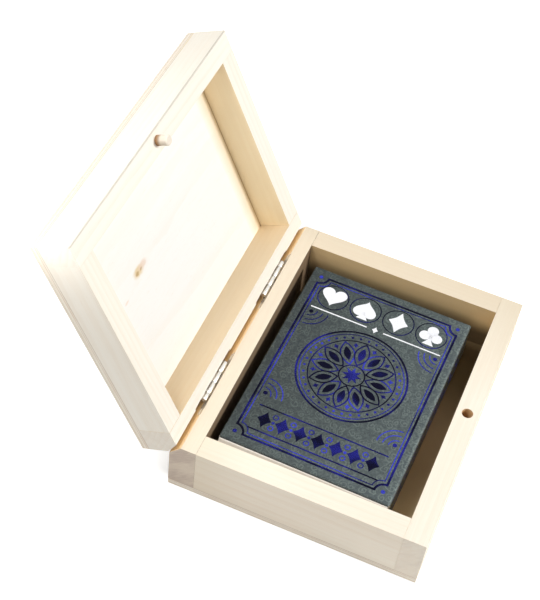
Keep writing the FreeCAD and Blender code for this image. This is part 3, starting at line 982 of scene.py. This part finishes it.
def moved(points, centre, size, turn=0.0):
    """Points of a unit outline, turned, sized and put in place."""
    cosine, sine = math.cos(math.radians(turn)), math.sin(math.radians(turn))
    return [
        (centre[0] + size * (x * cosine - y * sine), centre[1] + size * (x * sine + y * cosine))
        for x, y in points
    ]


def heart_outline(steps=44):
    """A heart about as high as one unit."""
    points = []
    for number in range(steps):
        t = 2 * math.pi * number / steps
        x = 16 * math.sin(t) ** 3
        y = 13 * math.cos(t) - 5 * math.cos(2 * t) - 2 * math.cos(3 * t) - math.cos(4 * t)
        points.append((x / 30, (y + 2.5) / 30))
    return points


def diamond_outline(steps=7):
    """A lozenge with hollow sides, a little over one unit high."""
    tips = ((0.0, 0.56), (0.42, 0.0), (0.0, -0.56), (-0.42, 0.0))
    points = []
    for tip, following in zip(tips, tips[1:] + tips[:1]):
        for share in (number / steps for number in range(steps)):
            pinch = 1 - 0.16 * math.sin(math.pi * share)
            points.append(tuple((a + (b - a) * share) * pinch for a, b in zip(tip, following)))
    return points


# The foot of a spade or a club.
STEM = [(-0.05, 0.02), (0.05, 0.02), (0.07, -0.25), (0.24, -0.52), (-0.24, -0.52), (-0.07, -0.25)]


def petal_outline(length, width, steps=12):
    """A pointed leaf standing on the origin."""
    right = [
        (width / 2 * math.sin(math.pi * n / steps) ** 0.85, length * n / steps)
        for n in range(steps + 1)
    ]
    left = [(-x, y) for x, y in right[1:-1][::-1]]
    return right + left


PIP_ROW = 33.3
PIP_SIZE = 9.4
PIP_PLACES = (-20.4, -6.8, 6.8, 20.4)
PIP_RULE = 25.6


def white_pips(white):
    """A straight row of the four plain card suits over a rule with a lozenge."""
    for number, right in enumerate(PIP_PLACES):
        place = (right, PIP_ROW)
        if number == 0:
            white.solid(moved(heart_outline(), place, PIP_SIZE))
        elif number == 1:
            white.solid(moved(heart_outline(), (right, PIP_ROW + 0.5), PIP_SIZE * 0.92, 180))
            white.solid(moved(STEM, place, PIP_SIZE))
        elif number == 2:
            white.solid(moved(diamond_outline(), place, PIP_SIZE))
        else:
            for x, y in ((0, 0.26), (-0.25, -0.08), (0.25, -0.08)):
                white.disc((right + x * PIP_SIZE, PIP_ROW + y * PIP_SIZE), 0.235 * PIP_SIZE, 26)
            white.solid(moved(STEM, place, PIP_SIZE))
    for side in (-1, 1):
        white.line((side * 3.4, PIP_RULE), (side * 26.6, PIP_RULE), 0.55)
    white.solid(moved(diamond_outline(), (0, PIP_RULE), 2.9))


FRAME_RIGHT = 29.0
FRAME_UP = 41.4
NOTCH = 3.6


def notched_frame(right, up, notch):
    """A frame whose corners are scooped inwards by quarter circles."""
    points = []
    for x, y, start in ((right, up, 270), (-right, up, 360), (-right, -up, 90), (right, -up, 180)):
        points += arc((x, y), notch, start, start - 90, 8)
    spaced = []
    for (x, y), following in zip(points, points[1:] + points[:1]):
        gap = Vector(following) - Vector((x, y))
        pieces = max(1, round(gap.length / Printing.LONGEST))
        spaced += [(x + gap.x * n / pieces, y + gap.y * n / pieces) for n in range(pieces)]
    return spaced


ROSE_CENTRE = (0.0, 1.2)
ROSE_RADIUS = 21.0
ROSE_PETALS = 12


def rosette(bright, deep):
    """The centre ornament: rings, dots and two rounds of petals."""
    deep.ring(ROSE_CENTRE, ROSE_RADIUS, 0.75, 96)
    bright.ring(ROSE_CENTRE, ROSE_RADIUS - 1.3, 0.35, 96)
    deep.ring(ROSE_CENTRE, ROSE_RADIUS - 4.4, 0.45, 84)
    for number in range(36):
        bright.disc(polar(ROSE_CENTRE, ROSE_RADIUS - 2.9, 10 * number), 0.52, 10)
    for number in range(ROSE_PETALS):
        turn = 360 / ROSE_PETALS * number
        outer_foot = polar(ROSE_CENTRE, 5.4, turn + 90)
        outline = moved(petal_outline(10.6, 5.4), outer_foot, 1.0, turn)
        (bright if number % 2 else deep).stroke(outline, 0.55)
        inner_foot = polar(ROSE_CENTRE, 7.4, turn + 90)
        deep.solid(moved(petal_outline(6.6, 2.7), inner_foot, 1.0, turn))
        between = polar(ROSE_CENTRE, 14.6, turn + 90 + 180 / ROSE_PETALS)
        bright.solid(moved(diamond_outline(3), between, 2.3, turn + 180 / ROSE_PETALS))
    deep.ring(ROSE_CENTRE, 4.9, 0.5, 48)
    reaches = (4.0, 1.9) * 8
    bright.solid([polar(ROSE_CENTRE, reach, 22.5 * n + 90) for n, reach in enumerate(reaches)])


BAND_LOW = -37.4
BAND_HIGH = -26.4


def foot_band(bright, deep):
    """The band at the foot: lozenges and dots between two lines."""
    middle = (BAND_LOW + BAND_HIGH) / 2
    for up in (BAND_LOW, BAND_HIGH):
        deep.line((-25.2, up), (25.2, up), 0.55)
    for number in range(7):
        right = -21.0 + 7.0 * number
        deep.solid(moved(diamond_outline(4), (right, middle), 6.6))
        if number < 6:
            for up in (middle + 2.6, middle - 2.6):
                bright.ring((right + 3.5, up), 0.95, 0.4, 18)
            bright.disc((right + 3.5, middle), 0.62, 12)


def print_front(bright_foil, deep_foil, white_layer):
    """The front: a double frame, pips, rosette, corner arcs and foot band."""
    bright, deep, white = Printing(0.040), Printing(0.045), Printing(0.035)
    keyline = Printing(0.028)
    deep.stroke(notched_frame(FRAME_RIGHT, FRAME_UP, NOTCH), 0.85)
    bright.stroke(notched_frame(FRAME_RIGHT - 1.3, FRAME_UP - 1.3, NOTCH), 0.4)
    for right in (-FRAME_RIGHT, FRAME_RIGHT):
        for up in (-FRAME_UP, FRAME_UP):
            bright.disc((right * 0.986, up * 0.991), 0.8, 14)
    white_pips(white)
    for right in PIP_PLACES:
        keyline.ring((right, PIP_ROW), 6.1, 0.4, 48)
    rosette(bright, deep)
    foot_band(bright, deep)
    for side_x in (-1, 1):
        for side_y in (-1, 1):
            corner = (side_x * 26.4, ROSE_CENTRE[1] + side_y * 22.8)
            start = {(1, 1): 180, (-1, 1): 270, (-1, -1): 0, (1, -1): 90}[(side_x, side_y)]
            for radius in (3.2, 5.4, 7.6):
                bright.stroke(arc(corner, radius, start, start + 90, 12), 0.4, closed=False)
            deep.disc((corner[0] - side_x * 0.9, corner[1] - side_y * 0.9), 0.85, 14)
    bright.piece("print_cobalt_fine", bright_foil)
    deep.piece("print_cobalt_deep", deep_foil)
    keyline.piece("print_pip_rings", deep_foil)
    white.piece("print_white_pips", white_layer)


SIDE_RIGHT = 41.0
SIDE_UP = CASE_TOP / 2 - 3.0


def print_sides(bright_foil):
    """Each long side: a frame line round a row of open lozenges."""
    for face in ("left", "right"):
        lines = Printing(0.03, face)
        corners = ((-1, -1), (1, -1), (1, 1), (-1, 1))
        lines.stroke([(x * SIDE_RIGHT, y * SIDE_UP) for x, y in corners], 0.5)
        for number in range(9):
            place = (-32.0 + 8.0 * number, 0.0)
            lines.stroke(moved(diamond_outline(3), place, 5.2), 0.35)
            lines.disc(place, 0.6, 12)
        lines.piece("print_side_" + face, bright_foil)


printed = printed_board("carton_grey_board")
core = bare_board("carton_core")
sleeve = carton_sleeve(printed, core)
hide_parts("tuck_case")
bottom_flaps = carton_bottom(printed, core)
tuck = carton_top(printed, core)
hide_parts("tuck_flap")
cobalt_bright = foil("foil_cobalt", *COBALT)
cobalt_deep = foil("foil_navy", *NAVY)
print_front(cobalt_bright, cobalt_deep, white_ink("ink_white"))
print_sides(cobalt_bright)


# -------- floor and light
def seen_rays(graph):
    """1 for the rays that the camera sends, directly or by way of a glossy or clear surface."""
    rays = graph.add("ShaderNodeLightPath", {}).node.outputs
    passed_on = graph.maths("MAXIMUM", rays["Is Glossy Ray"], rays["Is Transmission Ray"])
    return graph.maths("MAXIMUM", rays["Is Camera Ray"], passed_on)


# The floor is plain paper, lifted towards white for the camera alone. It lies a hair below the
# part, so that they share no plane.
FLOOR_TONES = (linear(240, 240, 240), linear(243, 243, 243))
FLOOR_LIFT = 0.50
FLOOR_HALF = 4.0
FLOOR_DROP = 0.02
WHITE = (1, 1, 1, 1)
floor_graph = Graph("studio_floor")
paper = floor_graph.noise(floor_graph.object_mm(), (0.02, 0.02, 0.02))
floor_colour = floor_graph.mix(paper, *FLOOR_TONES)
diffuse = floor_graph.add("ShaderNodeBsdfDiffuse", {"Color": floor_colour, "Roughness": 0.5})
lift = floor_graph.times(seen_rays(floor_graph), FLOOR_LIFT)
glow = floor_graph.add("ShaderNodeEmission", {"Color": WHITE, "Strength": lift})
surface = floor_graph.add("ShaderNodeAddShader", {0: diffuse, 1: glow})
floor_graph.add("ShaderNodeOutputMaterial", {"Surface": surface})

bpy.ops.mesh.primitive_plane_add(size=2 * FLOOR_HALF, location=(0, 0, -FLOOR_DROP * MM))
floor = bpy.context.object
floor.name = "studio_floor"
floor.data.materials.append(floor_graph.owner)

# The world is white for the camera and dimmer as a light.
WORLD_FILL = 0.14
sky = Graph("studio", "worlds")
bpy.context.scene.world = sky.owner
strength = sky.span(seen_rays(sky), 0.0, 1.0, WORLD_FILL, 1.0, smooth=False)
background = sky.add("ShaderNodeBackground", {"Color": WHITE, "Strength": strength})
sky.add("ShaderNodeOutputWorld", {"Surface": background})


def area_light(name, place, target, width, height, watts):
    """An elliptical lamp aimed at a point, its height towards the vertical."""
    lamp = bpy.data.lights.new(name, "AREA")
    lamp.shape = "ELLIPSE"
    lamp.size = width
    lamp.size_y = height
    lamp.energy = watts
    holder = bpy.data.objects.new(name, lamp)
    bpy.context.scene.collection.objects.link(holder)
    holder.location = place
    aim = Vector(target) - Vector(place)
    holder.rotation_euler = aim.to_track_quat("-Z", "Y").to_euler()
    holder.visible_camera = False


# Place, target, width, height and watts. The last two are small and close: they brighten the
# lid's near corner and its free edge, as the photo's studio light does.
LAMPS = {
    "front_softbox": ((0.19, -0.88, 0.57), (0.0, 0.02, 0.05), 0.22, 0.22, 8.6),
    "top_softbox": ((-0.20, 0.37, 0.84), (0.0, 0.02, 0.03), 0.26, 0.26, 3.8),
    "near_fill": ((-1.00, -0.12, 0.50), (-0.06, 0.0, 0.03), 0.60, 0.60, 1.4),
    "lid_corner_lamp": ((-0.0775, 0.100, 0.112), (-0.0596, 0.092, 0.105), 0.02, 0.02, 0.0048),
    "free_edge_lamp": ((-0.03, 0.135, 0.20), (-0.01, 0.089, 0.105), 0.16, 0.05, 0.075),
}
for name, traits in LAMPS.items():
    area_light(name, *traits)

# -------- camera
# Fitted to the photo: the place, the right and forward directions and the focal length.
CAMERA_PLACE = Vector((-0.31470, -0.05913, 0.43297))
CAMERA_RIGHT = Vector((0.38381, -0.91951, 0.08485)).normalized()
CAMERA_FORWARD = Vector((0.61937, 0.18819, -0.76221)).normalized()
CAMERA_LENS = 83.92

lens = bpy.data.cameras.new("photo_camera")
lens.lens = CAMERA_LENS
lens.clip_start = 0.01
camera = bpy.data.objects.new("photo_camera", lens)
bpy.context.scene.collection.objects.link(camera)
camera_up = CAMERA_RIGHT.cross(CAMERA_FORWARD).normalized()
camera_right = CAMERA_FORWARD.cross(camera_up)
turn = Matrix((camera_right, camera_up, -CAMERA_FORWARD)).transposed()
camera.matrix_world = Matrix.Translation(CAMERA_PLACE) @ turn.to_4x4()
bpy.context.scene.camera = camera

bpy.context.scene.view_settings.view_transform = "Standard"
